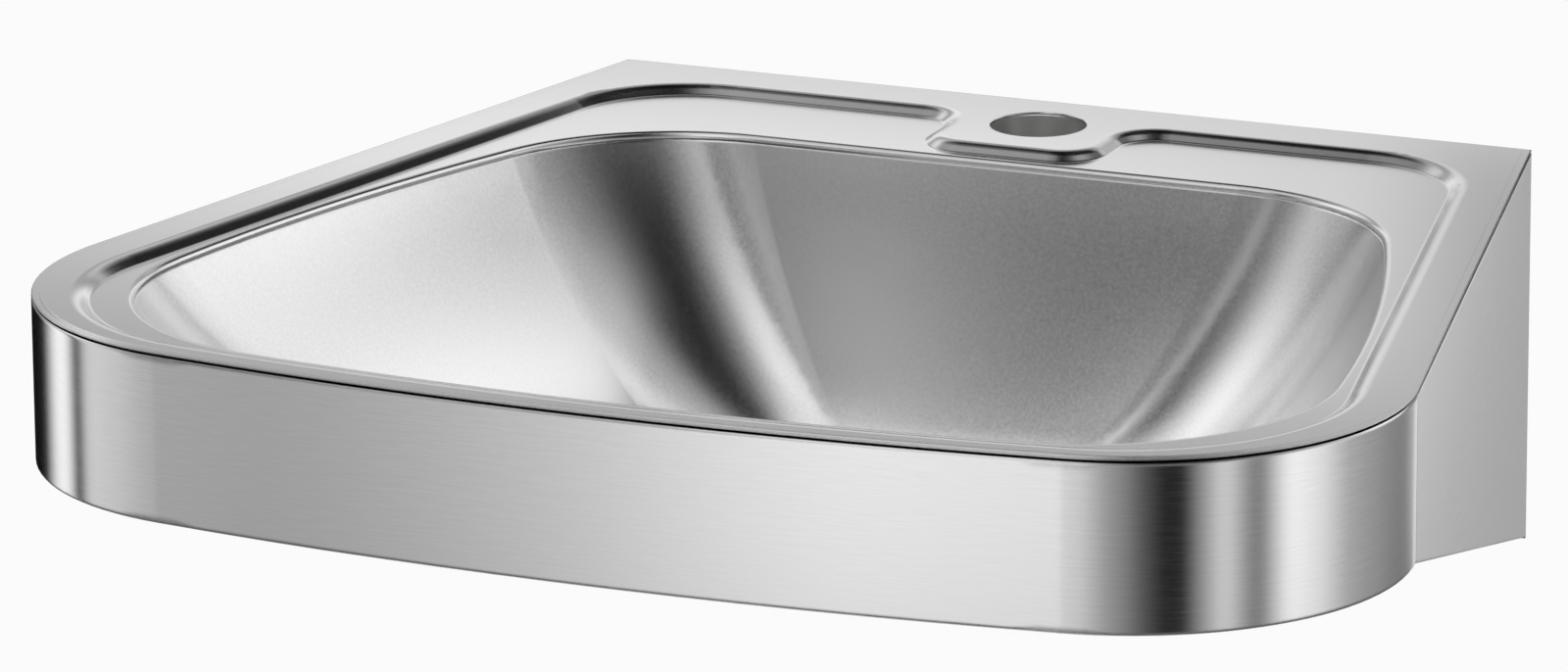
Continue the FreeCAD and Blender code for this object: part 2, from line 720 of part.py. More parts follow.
def make_right_cheek():
    """Flat side plate with its returns, drawn along the leaning side of the deck."""
    body = new_body("cheek_plate")
    turn = QUARTER_TURN - s.flare_degrees
    body.Placement = FreeCAD.Placement(V(0, 0, 0), FreeCAD.Rotation(V(0, 0, -1), turn.value))
    body.setExpression("Placement.Base.x", s.half_width.text)
    body.setExpression("Placement.Rotation.Angle", turn.text + " * 1deg")
    slope = Amount(degrees(atan2(s.cheek_foot.value - s.apron_foot.value, s.side_run.value)),
                   "(atan((%s) / (%s)) / 1deg)" % ((s.cheek_foot - s.apron_foot).text,
                                                  s.side_run.text))
    rise = s.apron_sheet / cosine(slope)
    top = -s.deck_sheet
    plate = new_sketch(body, "side", "XZ_Plane")
    polygon(plate, [(NOTHING, top), (NOTHING, -s.cheek_foot), (s.side_run, -s.apron_foot),
                    (s.side_run, top)])
    pad(body, plate, s.apron_sheet)
    top_return = new_sketch(body, "top_return", "XZ_Plane")
    rectangle(top_return, NOTHING, s.side_run, top - s.apron_sheet, top)
    pad(body, top_return, s.apron_top_return)
    foot_return = new_sketch(body, "foot_return", "XZ_Plane")
    polygon(foot_return, [(NOTHING, -s.cheek_foot), (s.side_run, -s.apron_foot),
                          (s.side_run, rise - s.apron_foot), (NOTHING, rise - s.cheek_foot)])
    base = pad(body, foot_return, s.apron_foot_return)
    for radius, picks in ((s.apron_top_round, on_top_edge), (s.apron_foot_round, on_foot_edge)):
        base = fillet(body, base, radius, picks)
    wall_return = new_sketch(body, "wall_return", offset=-s.cheek_foot)
    across = (-(s.cheek_wall_return * sine(s.flare_degrees)),
              -(s.cheek_wall_return * cosine(s.flare_degrees)))
    inward = (s.apron_sheet * cosine(s.flare_degrees), -(s.apron_sheet * sine(s.flare_degrees)))
    polygon(wall_return, [(NOTHING, NOTHING), across,
                          (across[0] + inward[0], across[1] + inward[1]), inward])
    pad(body, wall_return, s.cheek_foot - s.deck_sheet)
    drill = doc.addObject("Part::Cylinder", "cheek_drill")
    drill.Placement = FreeCAD.Placement(V(0, 0, 0), FreeCAD.Rotation(V(1, 0, 0), QUARTER_TURN.value))
    drill.setExpression("Radius", s.cheek_hole_radius.text)
    drill.setExpression("Height", s.overrun.text)
    drill.setExpression("Placement.Base.x", (s.half_width - s.cheek_hole_inset).text)
    drill.setExpression("Placement.Base.y", (s.overrun / 2).text)
    drill.setExpression("Placement.Base.z", (s.rim_above_fixings - s.cheek_hole_level).text)
    cheek = doc.addObject("Part::Cut", "right_cheek")
    cheek.Label = "right_cheek"
    cheek.Base = body
    cheek.Tool = drill
    return cheek


def on_outer_face(edge):
    return all(abs(vertex.Y) < 1e-4 for vertex in edge.Vertexes) and len(edge.Vertexes) == 2


def on_top_edge(edge):
    return on_outer_face(edge) and at_level(edge, -s.deck_sheet.value)


def on_foot_edge(edge):
    ends = sorted(vertex.Z for vertex in edge.Vertexes)
    return (on_outer_face(edge) and abs(ends[0] + s.cheek_foot.value) < 1e-3
            and abs(ends[1] + s.apron_foot.value) < 1e-3)


def make_left_cheek(right_cheek):
    """The same plate, handed for the other side."""
    mirror = doc.addObject("Part::Mirroring", "left_cheek")
    mirror.Label = "left_cheek"
    mirror.Source = right_cheek
    mirror.Normal = V(1, 0, 0)
    return mirror


def make_seam_strips():
    """Backing strips behind the two welds between the apron and the cheeks."""
    body = new_body("seam_strips", groups=True)
    foot = s.apron_foot - s.apron_sheet
    ring = new_sketch(body, "ring", offset=-(foot - s.seam_strip_sheet))
    outside = s.apron_sheet + s.seam_strip_gap
    for inset in (outside, outside + s.seam_strip_sheet):
        deck_outline(ring, side=inset, front=inset, back=inset)
    pad(body, ring, foot - s.seam_strip_sheet - s.deck_sheet - s.apron_sheet)
    behind = new_sketch(body, "behind")
    seam_cut(behind, back_off=s.seam_strip_half_width)
    pocket(body, behind)
    before = new_sketch(body, "before")
    swing = s.seam_strip_half_width / s.corner_radius * HALF_TURN / PI
    reach = s.corner_radius + s.overrun
    far_x = s.corner_x + reach * cosine(s.flare_degrees - swing)
    far_y = s.corner_y + reach * sine(s.flare_degrees - swing)
    low = -(s.deck_reach + s.overrun)
    polygon(before, [(s.corner_x, s.corner_y), (far_x, far_y), (far_x, low), (-far_x, low),
                     (-far_x, far_y), (-s.corner_x, s.corner_y)])
    pocket(body, before)
    return body


def make_hanging_rail():
    """Folded rail across the back: its lip drops behind the tongues of the wall bracket."""
    body = new_body("hanging_rail")
    profile = new_sketch(body, "profile", "YZ_Plane")
    lip_back = -s.apron_sheet
    lip_front = lip_back - s.rail_sheet
    web_front = -s.rail_reach
    web_back = web_front + s.rail_sheet
    top = -s.deck_sheet
    under = top - s.rail_sheet
    polygon(profile, [(lip_back, top), (lip_back, -s.rail_lip_foot), (lip_front, -s.rail_lip_foot),
                      (lip_front, under), (web_back, under), (web_back, -s.rail_foot),
                      (web_front, -s.rail_foot), (web_front, top)])
    pad(body, profile, (s.half_width - s.rail_end_inset) * 2, both_ways=True)
    notch = new_sketch(body, "tap_notch", "XZ_Plane", offset=-lip_front)
    rectangle(notch, -s.notch_half_width, s.notch_half_width, -s.notch_foot, NOTHING)
    pocket(body, notch, s.rail_reach, backwards=True)
    holes = new_sketch(body, "lock_holes", "XZ_Plane")
    for x in (-s.lock_half_spacing, s.lock_half_spacing):
        circle(holes, x, -s.lock_level, s.lock_thread_radius + s.hole_clearance)
    pocket(body, holes)
    return body


def make_wall_bracket():
    """Bracket screwed to the wall, with two upturned tongues either side of the tap."""
    body = new_body("wall_bracket")
    profile = new_sketch(body, "profile", "YZ_Plane")
    shelf_top = s.bracket_sheet - s.bracket_shelf
    tongue_top = -(s.deck_sheet + s.rail_sheet)
    front = -s.bracket_reach
    polygon(profile, [(NOTHING, -s.bracket_foot), (NOTHING, shelf_top),
                      (front + s.bracket_sheet, shelf_top), (front + s.bracket_sheet, tongue_top),
                      (front, tongue_top), (front, -s.bracket_shelf),
                      (-s.bracket_sheet, -s.bracket_shelf), (-s.bracket_sheet, -s.bracket_foot)])
    pad(body, profile, s.bracket_half_width * 2, both_ways=True)
    notch = new_sketch(body, "tap_notch", "XZ_Plane")
    rectangle(notch, -s.notch_half_width, s.notch_half_width, -s.bracket_shelf, NOTHING)
    pocket(body, notch)
    holes = new_sketch(body, "holes", "XZ_Plane")
    for side in (-1, 1):
        circle(holes, s.fixing_half_spacing * side, -s.rim_above_fixings, s.fixing_hole_radius)
        circle(holes, s.lock_half_spacing * side, -s.lock_level,
               s.lock_thread_radius + s.hole_clearance)
    pocket(body, holes)
    return body


def make_locking_screws():
    """Two socket screws that pass through the bracket so that the basin can't be lifted off."""
    body = new_body("locking_screws", groups=True)
    shanks = new_sketch(body, "shanks", "XZ_Plane", offset=s.lock_tip)
    heads = new_sketch(body, "heads", "XZ_Plane", offset=s.rail_reach)
    sockets = new_sketch(body, "sockets", "XZ_Plane",
                         offset=s.rail_reach + s.lock_head_height - s.lock_socket_depth)
    for x in (-s.lock_half_spacing, s.lock_half_spacing):
        circle(shanks, x, -s.lock_level, s.lock_thread_radius - s.thread_clearance)
        circle(heads, x, -s.lock_level, s.lock_head_radius)
        hexagon(sockets, x, -s.lock_level, s.lock_socket_flats)
    pad(body, shanks, s.rail_reach - s.lock_tip)
    pad(body, heads, s.lock_head_height)
    pocket(body, sockets, s.lock_socket_depth, backwards=True)
    return body


def make_locking_nuts():
    """Hexagon nuts welded behind the rail for the locking screws."""
    body = new_body("locking_nuts", groups=True)
    nuts = new_sketch(body, "outline", "XZ_Plane", offset=s.rail_reach - s.rail_sheet - s.nut_height)
    for x in (-s.lock_half_spacing, s.lock_half_spacing):
        hexagon(nuts, x, -s.lock_level, s.nut_flats)
        circle(nuts, x, -s.lock_level, s.lock_thread_radius)
    pad(body, nuts, s.nut_height)
    return body


def rounded_plate(label, half_width, back, front, level, thickness, corner):
    """A flat plate with rounded corners, hung below one level."""
    body = new_body(label)
    outline = new_sketch(body, "outline", offset=-(level + thickness))
    rectangle(outline, -half_width, half_width, -front, -back)
    plate = pad(body, outline, thickness)
    rounded = fillet(body, plate, corner, stands_upright)
    return body, rounded


def stands_upright(edge):
    low, high = edge.Vertexes[0].Point, edge.Vertexes[-1].Point
    return abs(low.x - high.x) < 1e-6 and abs(low.y - high.y) < 1e-6


def make_tap_plate():
    """Stiffening plate inside the tap ledge, with the same hole as the deck."""
    body, plate = rounded_plate("tap_plate", s.tap_plate_half_width, s.tap_plate_back,
                                s.tap_plate_front, s.deck_sheet, s.tap_plate_thickness,
                                s.tap_plate_corner)
    hole = new_sketch(body, "tap_hole")
    circle(hole, NOTHING, -s.tap_hole_back, s.tap_hole_radius)
    pocket(body, hole)
    return body


def make_damping_pad():
    """Pad glued under the floor of the bowl to deaden the sound of running water."""
    body, plate = rounded_plate("damping_pad", s.pad_half_width, s.pad_back, s.pad_front,
                                s.floor_level + s.bowl_sheet, s.pad_thickness, s.pad_corner)
    return body


def waste_body_frame(label, groups=False):
    """A body whose own origin is the middle of the bowl's waste seat."""
    body = new_body(label, groups)
    body.setExpression("Placement.Base.y", (-s.waste_back).text)
    body.setExpression("Placement.Base.z", (s.rim_above_fixings - s.waste_seat_level).text)
    return body


def make_ring(label, inner, outer, low, high):
    """A flat ring about the waste's axis."""
    body = waste_body_frame(label)
    profile = new_sketch(body, "section", "XZ_Plane")
    rectangle(profile, inner, outer, low, high)
    revolve(body, profile)
    return body


def make_waste_strainer():
    """Flanged grid in the bowl, held down by the middle screw."""
    body = waste_body_frame("waste_strainer")
    flange_foot = s.upper_seal_thickness
    flange_top = flange_foot + s.strainer_sheet
    dish_foot = flange_foot - s.strainer_dish_drop
    dish_top = flange_top - s.strainer_dish_drop
    skirt_inner = s.strainer_skirt_radius - s.strainer_skirt_sheet
    skirt_foot = dish_foot - s.strainer_skirt_drop
    hole = s.waste_thread_radius + s.hole_clearance
    profile = new_sketch(body, "section", "XZ_Plane")
    dish_edge = s.strainer_dish_radius - s.strainer_dish_drop
    polygon(profile, [(hole, dish_foot), (skirt_inner, dish_foot), (skirt_inner, skirt_foot),
                      (s.strainer_skirt_radius, skirt_foot), (s.strainer_skirt_radius, dish_foot),
                      (s.strainer_dish_radius, flange_foot), (s.waste_flange_radius, flange_foot),
                      (s.waste_flange_radius, flange_top), (s.strainer_dish_radius, flange_top),
                      (dish_edge, dish_top), (hole, dish_top)])
    revolve(body, profile)
    for ring, count in ((s.strainer_inner_ring, STRAINER_INNER_HOLES),
                        (s.strainer_outer_ring, STRAINER_OUTER_HOLES)):
        sketch = new_sketch(body, "hole_of_%d" % count)
        circle(sketch, NOTHING, ring, s.strainer_hole_radius)
        cut = pocket(body, sketch)
        around = body.newObject("PartDesign::PolarPattern", "strainer_ring_%d" % count)
        around.Originals = [cut]
        around.Axis = (origin_part(body, "Z_Axis"), [""])
        around.Angle = FULL_TURN.value
        around.Occurrences = count
        body.Tip = around
    return body


def make_waste_body():
    """Flanged tail below the bowl, with a crossbar that takes the middle screw."""
    body = waste_body_frame("waste_body")
    top = -(s.bowl_sheet + s.lower_seal_thickness)
    shoulder = top - s.waste_body_flange
    foot = shoulder - s.waste_tail_length
    profile = new_sketch(body, "section", "XZ_Plane")
    polygon(profile, [(s.waste_tail_bore, foot), (s.waste_tail_radius, foot),
                      (s.waste_tail_radius, shoulder), (s.waste_flange_radius, shoulder),
                      (s.waste_flange_radius, top), (s.waste_tail_bore, top)])
    revolve(body, profile)
    boss_foot = top - s.waste_boss_drop - s.waste_boss_height
    bar = new_sketch(body, "bar", offset=boss_foot)
    reach = (s.waste_tail_bore + s.waste_tail_radius) / 2
    rectangle(bar, -reach, reach, -(s.waste_bar_width / 2), s.waste_bar_width / 2)
    pad(body, bar, s.waste_bar_height)
    boss = new_sketch(body, "boss", offset=boss_foot)
    circle(boss, NOTHING, NOTHING, s.waste_boss_radius)
    pad(body, boss, s.waste_boss_height)
    thread = new_sketch(body, "thread")
    circle(thread, NOTHING, NOTHING, s.waste_thread_radius)
    pocket(body, thread)
    return body


def make_waste_screw():
    """Slotted screw that pulls the strainer and the tail together."""
    body = waste_body_frame("waste_screw")
    seat = s.upper_seal_thickness + s.strainer_sheet - s.strainer_dish_drop
    tip = -(s.bowl_sheet + s.lower_seal_thickness + s.waste_boss_drop + s.waste_boss_height)
    shank = new_sketch(body, "shank", offset=tip)
    circle(shank, NOTHING, NOTHING, s.waste_thread_radius - s.thread_clearance)
    pad(body, shank, seat - tip)
    head = new_sketch(body, "head", offset=seat)
    circle(head, NOTHING, NOTHING, s.waste_screw_head_radius)
    pad(body, head, s.waste_screw_head_height)
    slot = new_sketch(body, "slot", offset=seat + s.waste_screw_head_height / 2)
    half = s.waste_screw_slot / 2
    rectangle(slot, -s.waste_screw_head_radius, s.waste_screw_head_radius, -half, half)
    pocket(body, slot, s.waste_screw_head_height, backwards=True)
    return body


def earth_piece(label, start, length, radius, flats=None, bore=None):
    """One piece of the earthing point, as a length of a round or hexagon bar along Y."""
    body = new_body(label)
    sketch = new_sketch(body, "outline", "XZ_Plane", offset=start)
    x = -(s.half_width - s.earth_inset)
    if flats:
        hexagon(sketch, x, -s.earth_level, flats)
    else:
        circle(sketch, x, -s.earth_level, radius)
    if bore:
        circle(sketch, x, -s.earth_level, bore)
    pad(body, sketch, length)
    return body


def make_earth_point():
    """Stud welded to the left wall return, with its washer and nut.

    A groove outside the nut parts the thread that the nut sits on from the free end.
    """
    washer_end = s.apron_sheet + s.earth_washer_thickness
    bore = s.earth_thread_radius
    stud = earth_piece("earth_stud", s.apron_sheet, s.earth_stud_length, bore - s.thread_clearance)
    groove = new_sketch(stud, "groove", "XZ_Plane", offset=washer_end + s.nut_height)
    for radius in (s.earth_groove_radius, bore + s.overrun):
        circle(groove, -(s.half_width - s.earth_inset), -s.earth_level, radius)
    pocket(stud, groove, s.earth_groove_width, backwards=True)
    return [
        stud,
        earth_piece("earth_washer", s.apron_sheet, s.earth_washer_thickness,
                    s.earth_washer_radius, bore=bore + s.hole_clearance),
        earth_piece("earth_nut", washer_end, s.nut_height, None, flats=s.nut_flats, bore=bore),
    ]


def build():
    """Make every piece and return them."""
    right_cheek = make_right_cheek()
    lower_top = -s.bowl_sheet
    pieces = [make_deck(), make_bowl(), make_apron(), right_cheek, make_left_cheek(right_cheek),
              make_seam_strips(), make_hanging_rail(), make_wall_bracket(),
              make_locking_screws(), make_locking_nuts(), make_tap_plate(), make_damping_pad(),
              make_waste_strainer(), make_waste_body(), make_waste_screw(),
              make_ring("waste_upper_seal", s.seal_inner_radius,
                        s.waste_flange_radius - s.seal_margin, NOTHING, s.upper_seal_thickness),
              make_ring("waste_lower_seal", s.seal_inner_radius,
                        s.waste_flange_radius - s.seal_margin,
                        lower_top - s.lower_seal_thickness, lower_top)]
    return pieces + make_earth_point()


def check(pieces):
    """Stop if any object failed, or if a piece isn't a sound solid."""
    doc.recompute()
    failed = [item.Label for item in doc.Objects
              if "Invalid" in item.State or "Error" in item.State]
    if failed:
        raise RuntimeError("failed objects: " + ", ".join(failed))
    for piece in pieces:
        shape = piece.Shape
        if shape.isNull() or not shape.isValid() or not shape.Solids:
            raise RuntimeError(piece.Label + " is not a sound solid")


def export(pieces):
    """Write each piece to a file named after it."""
    os.makedirs("parts", exist_ok=True)
    for piece in pieces:
        piece.Shape.exportStep(os.path.join("parts", piece.Label + ".step"))
        box = piece.Shape.BoundBox
        print("%-18s %2d solids %10.1f mm3  x %7.1f %7.1f  y %7.1f %7.1f  z %7.1f %7.1f" % (
            piece.Label, len(piece.Shape.Solids), piece.Shape.Volume, box.XMin, box.XMax,
            box.YMin, box.YMax, box.ZMin, box.ZMax))


parts_made = build()
check(parts_made)
export(parts_made)
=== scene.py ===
"""Looks for the stainless steel hand basin: satin metal in a white studio, seen from the right."""
import bpy
from math import cos, pi, sin
from mathutils import Matrix, Vector

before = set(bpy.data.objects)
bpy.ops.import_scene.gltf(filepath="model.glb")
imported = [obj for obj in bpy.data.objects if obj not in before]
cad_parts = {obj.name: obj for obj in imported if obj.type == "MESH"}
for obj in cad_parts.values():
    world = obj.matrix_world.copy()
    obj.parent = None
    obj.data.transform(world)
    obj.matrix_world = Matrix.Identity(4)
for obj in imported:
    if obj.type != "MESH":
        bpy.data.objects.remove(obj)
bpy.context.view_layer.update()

# Camera, fitted to the basin's outline in the photograph: places in metres, angles in radians
LENS_MM = 223.52
SENSOR_MM = 36.0
AZIMUTH = 0.407343
ELEVATION = 0.278068
ROLL = -0.0068047
DISTANCE = 3.318989
TARGET = Vector((-0.0063138, -0.25, 0.0298147))
CLIP_END = 50

# Studio round the basin, in metres
STUDIO_RADIUS = 1.5
STUDIO_CENTRE = (0.0, -0.2)
STUDIO_FOOT = -0.85
STUDIO_TOP = 1.9
STUDIO_SIDES = 96
FLOOR_RADIUS = 6.0

# Plain light and the whites
PLAIN_LIGHT = 1.0
WHITE = (1, 1, 1, 1)
FLOOR_WHITE = (0.9, 0.9, 0.9, 1)
FLOOR_GLOW = 0.87

# Cards that only the metal mirrors: how far behind the studio's centre each one stands, or in front
# where it is less than nought, and its corners, across and up
SIDE_CARD = (0.5, ((0.08, -0.45), (0.27, -0.45), (0.27, 0.0), (0.08, 0.0)))
BACK_CARD = (0.5, ((-0.65, 0.135), (0.08, 0.135), (0.08, 0.34), (-0.65, 0.34)))
EDGE_CARD = (0.25, ((0.165, 0.045), (0.4, 0.045), (0.4, 0.14), (0.165, 0.14)))
FRONT_CARD = (-0.25, ((-0.225, 0.105), (-0.07, 0.105), (-0.07, 0.125), (-0.1, 0.18), (-0.12, 0.21),
                      (-0.19, 0.24), (-0.225, 0.27)))
EDGE_CARD_TONE = 0.0

# Dark ring lying under the basin, which the apron's foot and the bowl's underside mirror; its open
# middle keeps the tap hole pale
UNDER_RING_INSIDE, UNDER_RING_OUTSIDE = 0.27, 0.9
UNDER_RING_HEIGHT = -0.3
UNDER_RING_TONE = 0.15

# Side card's slanted change from dark to pale, which the right cheek shows
SIDE_CARD_SLANT = 0.2
SIDE_CARD_DARK_AT, SIDE_CARD_PALE_AT = 0.152, 0.213
SIDE_CARD_DARK, SIDE_CARD_PALE = 0.4, 1.0

# Back card's tones by height and by place across, which the deck's flats show
BACK_CARD_BY_HEIGHT = (
    (0.135, 0.72), (0.148, 0.82), (0.16, 1.00), (0.18, 1.12), (0.207, 1.00), (0.232, 0.78),
    (0.257, 0.52), (0.28, 0.36), (0.34, 0.32),
)
BACK_CARD_BY_PLACE = (
    (-0.65, 0.80), (-0.45, 1.00), (-0.33, 1.06), (-0.2, 1.14), (-0.12, 1.02), (-0.04, 0.88),
    (0.0, 0.80), (0.04, 0.58), (0.08, 0.42),
)

# Front card's tones by place across, which the bowl's back shows low down
FRONT_CARD_BY_PLACE = (
    (-0.24, 0.50), (-0.22, 0.62), (-0.2, 0.62), (-0.18, 0.50), (-0.16, 0.36), (-0.14, 0.27),
    (-0.12, 0.18), (-0.1, 0.15), (-0.07, 0.15),
)

# Tones of the studio wall and ceiling by bearing, in degrees from the front towards the right:
# the apron mirrors the low row, the deck mostly the next two, and the bowl the rest
LOW_TONES = (
    (-180, 0.74), (-168, 0.40), (-156, 0.03), (-114, 0.00), (-107, 0.12), (-100, 0.75), (-93, 1.22),
    (-86, 0.95), (-80.5, 0.00), (-75, 0.72), (-64, 0.78), (-49, 0.64), (-35, 0.50), (-20, 0.84),
    (-11, 1.14), (-4, 1.15), (2, 1.04), (14, 0.57), (25, 0.23), (36, 0.00), (43, 0.01), (52, 0.58),
    (58, 0.82), (66, 0.32), (72, 0.42), (80, 1.16), (89, 1.14), (98, 0.90), (107, 0.58), (117, 0.44),
    (150, 0.27), (166, 0.52),
)
FIRST_TONES = (
    (-180, 0.80), (-165, 0.78), (-148, 0.85), (-135, 0.62), (-114, 0.30), (-100, 0.38), (-85, 0.50),
    (-70, 0.68), (-58, 0.44), (-48, 0.23), (-38, 0.06), (-28, 0.32), (-18, 0.08), (-8, 0.56),
    (3, 0.72), (20, 0.36), (60, 0.42), (90, 0.60), (114, 0.95), (128, 1.50), (137, 1.25), (150, 1.05),
    (166, 0.98),
)
SECOND_TONES = (
    (-180, 0.78), (-165, 0.75), (-130, 0.70), (-98, 1.32), (-80, 1.14), (-66, 0.60), (-52, 0.20),
    (-42, 0.06), (-30, 0.22), (-16, 0.75), (-2, 0.70), (10, 0.42), (24, 0.13), (45, 0.08),
    (70, 0.11), (88, 0.24), (105, 0.34), (122, 0.62), (135, 1.08), (150, 0.98), (166, 0.80),
)
THIRD_TONES = (
    (-180, 0.03), (-166, 0.35), (-100, 1.20), (-72, 0.62), (-48, 0.06), (-37, 1.10), (-28, 0.04),
    (-18, 0.98), (0, 1.00), (15, 0.42), (28, 0.08), (40, 0.02), (70, 0.12), (100, 0.40), (125, 0.80),
    (140, 1.40), (153, 0.80), (165, 0.03),
)
TOP_TONES = (
    (-180, 0.02), (-140, 0.05), (-90, 0.70), (-55, 0.65), (-25, 1.00), (-10, 1.12), (0, 1.06),
    (12, 0.50), (25, 0.16), (40, 0.02), (58, 0.06), (75, 0.27), (95, 0.58), (120, 0.80), (138, 1.20),
    (150, 0.60), (160, 0.02),
)
CEILING_TONES = (
    (-180, 0.02), (-140, 0.05), (-90, 0.70), (-55, 0.65), (-25, 1.00), (-10, 0.98), (0, 0.86),
    (12, 0.46), (25, 0.16), (40, 0.03), (58, 0.02), (75, 0.08), (95, 0.38), (120, 0.62), (138, 1.00),
    (150, 0.50), (160, 0.02),
)

# Height in metres at which each row of tones is reached
ROWS = ((-0.15, LOW_TONES), (0.35, FIRST_TONES), (0.8, SECOND_TONES), (1.05, THIRD_TONES),
        (1.6, TOP_TONES), (1.88, CEILING_TONES))
BRIGHTEST = 1.6
NEW_TONE_AT = 0.5
DEGREES_ROUND = 360
FRONT_SHARE = 0.5

# Finish of the steel: a grain's numbers stretch the noise across, back and up
STEEL_COLOR = (0.78, 0.78, 0.78)
FINE_GRAIN = (900, 900, 900)
BRUSHED_GRAIN = (90, 90, 2500)
UNEVENNESS = 0.06
GRAIN_DETAIL = 2.0
NOISE_LOW, NOISE_HIGH = 0.25, 0.75
QUARTER_TURN = 0.25

# Painted shade, darkening the colour in narrow joints where light is shut out: how open a place is, from
# 0 to 1, where it counts as fully shaded and as clear
PAINTED_SHADE_REACH = 0.004
PAINTED_SHADE_SAMPLES = 8
PAINTED_SHADE_FULL_AT = 0.25
PAINTED_SHADE_CLEAR_AT = 0.6
# Extra painted shade in the joints of the apron and cheeks
BAND_EXTRA_PAINTED_SHADE = 0.13

# Soft normals at edges, in metres, and places where they reach further: reach, middle and spread
SOFT_EDGE = 0.0015
DECK_SOFT_EDGE = 0.0008
SOFT_EDGE_SAMPLES = 8
SOFT_BEND = (0.0032, 0.162, 0.016)
SOFT_FRONT = (0.003, 0.45, 0.09)
FULL_SHARE = 0.5

# Finish of the plain pieces
PLAIN_NOISE_SCALE = 400.0
PLAIN_NOISE_DETAIL = 3.0
PLAIN_UNEVENNESS = 0.2

# Sockets of a Mix node for colours
MIX_INPUTS = (0, 6, 7)
MIX_RESULT = 2


def new_material(name):
    """An empty node material, its nodes and links, and its output."""
    material = bpy.data.materials.new(name)
    material.use_nodes = True
    nodes = material.node_tree.nodes
    nodes.clear()
    return material, nodes, material.node_tree.links, nodes.new("ShaderNodeOutputMaterial")


def set_sockets(node, **values):
    """Values on a node's inputs, with an underscore for each space in an input's name."""
    for name, value in values.items():
        node.inputs[name.replace("_", " ")].default_value = value


def feed(links, socket, item):
    """A number or colour set on an input, or another node's output joined to it."""
    if isinstance(item, bpy.types.NodeSocket):
        links.new(item, socket)
    else:
        socket.default_value = item


def maths(nodes, links, operation, *items):
    """A Math node whose inputs are numbers or outputs."""
    node = nodes.new("ShaderNodeMath")
    node.operation = operation
    for socket, item in zip(node.inputs, items):
        feed(links, socket, item)
    return node.outputs[0]


def map_range(nodes, links, value, **limits):
    """A value carried from one range to another and held at its ends."""
    node = nodes.new("ShaderNodeMapRange")
    set_sockets(node, **limits)
    links.new(value, node.inputs["Value"])
    return node.outputs[0]


def mix_colors(nodes, links, blend_type, share, first, second):
    """A Mix node for colours, whose inputs are plain values or outputs."""
    node = nodes.new("ShaderNodeMix")
    node.data_type = "RGBA"
    node.blend_type = blend_type
    for place, item in zip(MIX_INPUTS, (share, first, second)):
        feed(links, node.inputs[place], item)
    return node.outputs[MIX_RESULT]


def mix_shaders(nodes, links, share, first, second, output):
    """One shader giving way to another by a share."""
    mix = nodes.new("ShaderNodeMixShader")
    for socket, item in zip(mix.inputs, (share, first.outputs[0], second.outputs[0])):
        links.new(item, socket)
    links.new(mix.outputs[0], output.inputs["Surface"])


def object_place(nodes):
    """The place on an object, in its own frame."""
    return nodes.new("ShaderNodeTexCoord").outputs["Object"]


def split_place(nodes, links):
    """The place on an object as its three coordinates."""
    split = nodes.new("ShaderNodeSeparateXYZ")
    links.new(object_place(nodes), split.inputs[0])
    return split.outputs


def tone_ramp(nodes, links, share, tones):
    """A soft ramp of greys; each tone's place is a share of the way along."""
    node = nodes.new("ShaderNodeValToRGB")
    ramp = node.color_ramp
    ramp.interpolation = "CARDINAL"
    while len(ramp.elements) < len(tones):
        ramp.elements.new(NEW_TONE_AT)
    for element, (place, tone) in zip(ramp.elements, tones):
        element.position = place
        element.color = (tone / BRIGHTEST, tone / BRIGHTEST, tone / BRIGHTEST, 1)
    links.new(share, node.inputs["Fac"])
    return node.outputs["Color"]


def round_the_wall(tones):
    """Tones by bearing as tones by share of the way round."""
    return [(degrees / DEGREES_ROUND + FRONT_SHARE, tone) for degrees, tone in tones]


def tones_along(nodes, links, length, tones):
    """A ramp over a length in metres, from the first tone's place to the last one's."""
    start, end = tones[0][0], tones[-1][0]
    share = map_range(nodes, links, length, From_Min=start, From_Max=end)
    by_share = [((place - start) / (end - start), tone) for place, tone in tones]
    return tone_ramp(nodes, links, share, by_share)


def blend_tones(nodes, links, height, low, high, start, end):
    """One row of tones giving way to another with height."""
    step = map_range(nodes, links, height, From_Min=start, From_Max=end)
    step.node.interpolation_type = "SMOOTHSTEP"
    return mix_colors(nodes, links, "MIX", step, low, high)


def glowing_material(name, strength=BRIGHTEST):
    """A material that only gives light, with its nodes and links, the place on it and its light."""
    material, nodes, links, output = new_material(name)
    light = nodes.new("ShaderNodeEmission")
    set_sockets(light, Strength=strength)
    links.new(light.outputs[0], output.inputs["Surface"])
    return material, nodes, links, split_place(nodes, links), light


def studio_wall_material():
    """Light that the wall gives, by its bearing round the basin and by its height."""
    material, nodes, links, place, light = glowing_material("studio_wall")
    backwards = maths(nodes, links, "MULTIPLY", place["Y"], -1.0)
    bearing = maths(nodes, links, "ARCTAN2", place["X"], backwards)
    share = maths(nodes, links, "MULTIPLY_ADD", bearing, 1 / (2 * pi), FRONT_SHARE)
    (start, lowest), *higher = ROWS
    walls = tone_ramp(nodes, links, share, round_the_wall(lowest))
    for level, tones in higher:
        row = tone_ramp(nodes, links, share, round_the_wall(tones))
        walls = blend_tones(nodes, links, place["Z"], walls, row, start, level)
        start = level
    links.new(walls, light.inputs["Color"])
    return material


def side_card_material():
    """Darker towards the wall, along a slant."""
    material, nodes, links, place, light = glowing_material("side_card")
    slanted = maths(nodes, links, "MULTIPLY_ADD", place["Z"], SIDE_CARD_SLANT, place["X"])
    tone = map_range(nodes, links, slanted, From_Min=SIDE_CARD_DARK_AT, From_Max=SIDE_CARD_PALE_AT,
                     To_Min=SIDE_CARD_DARK, To_Max=SIDE_CARD_PALE)
    links.new(tone, light.inputs["Strength"])
    return material


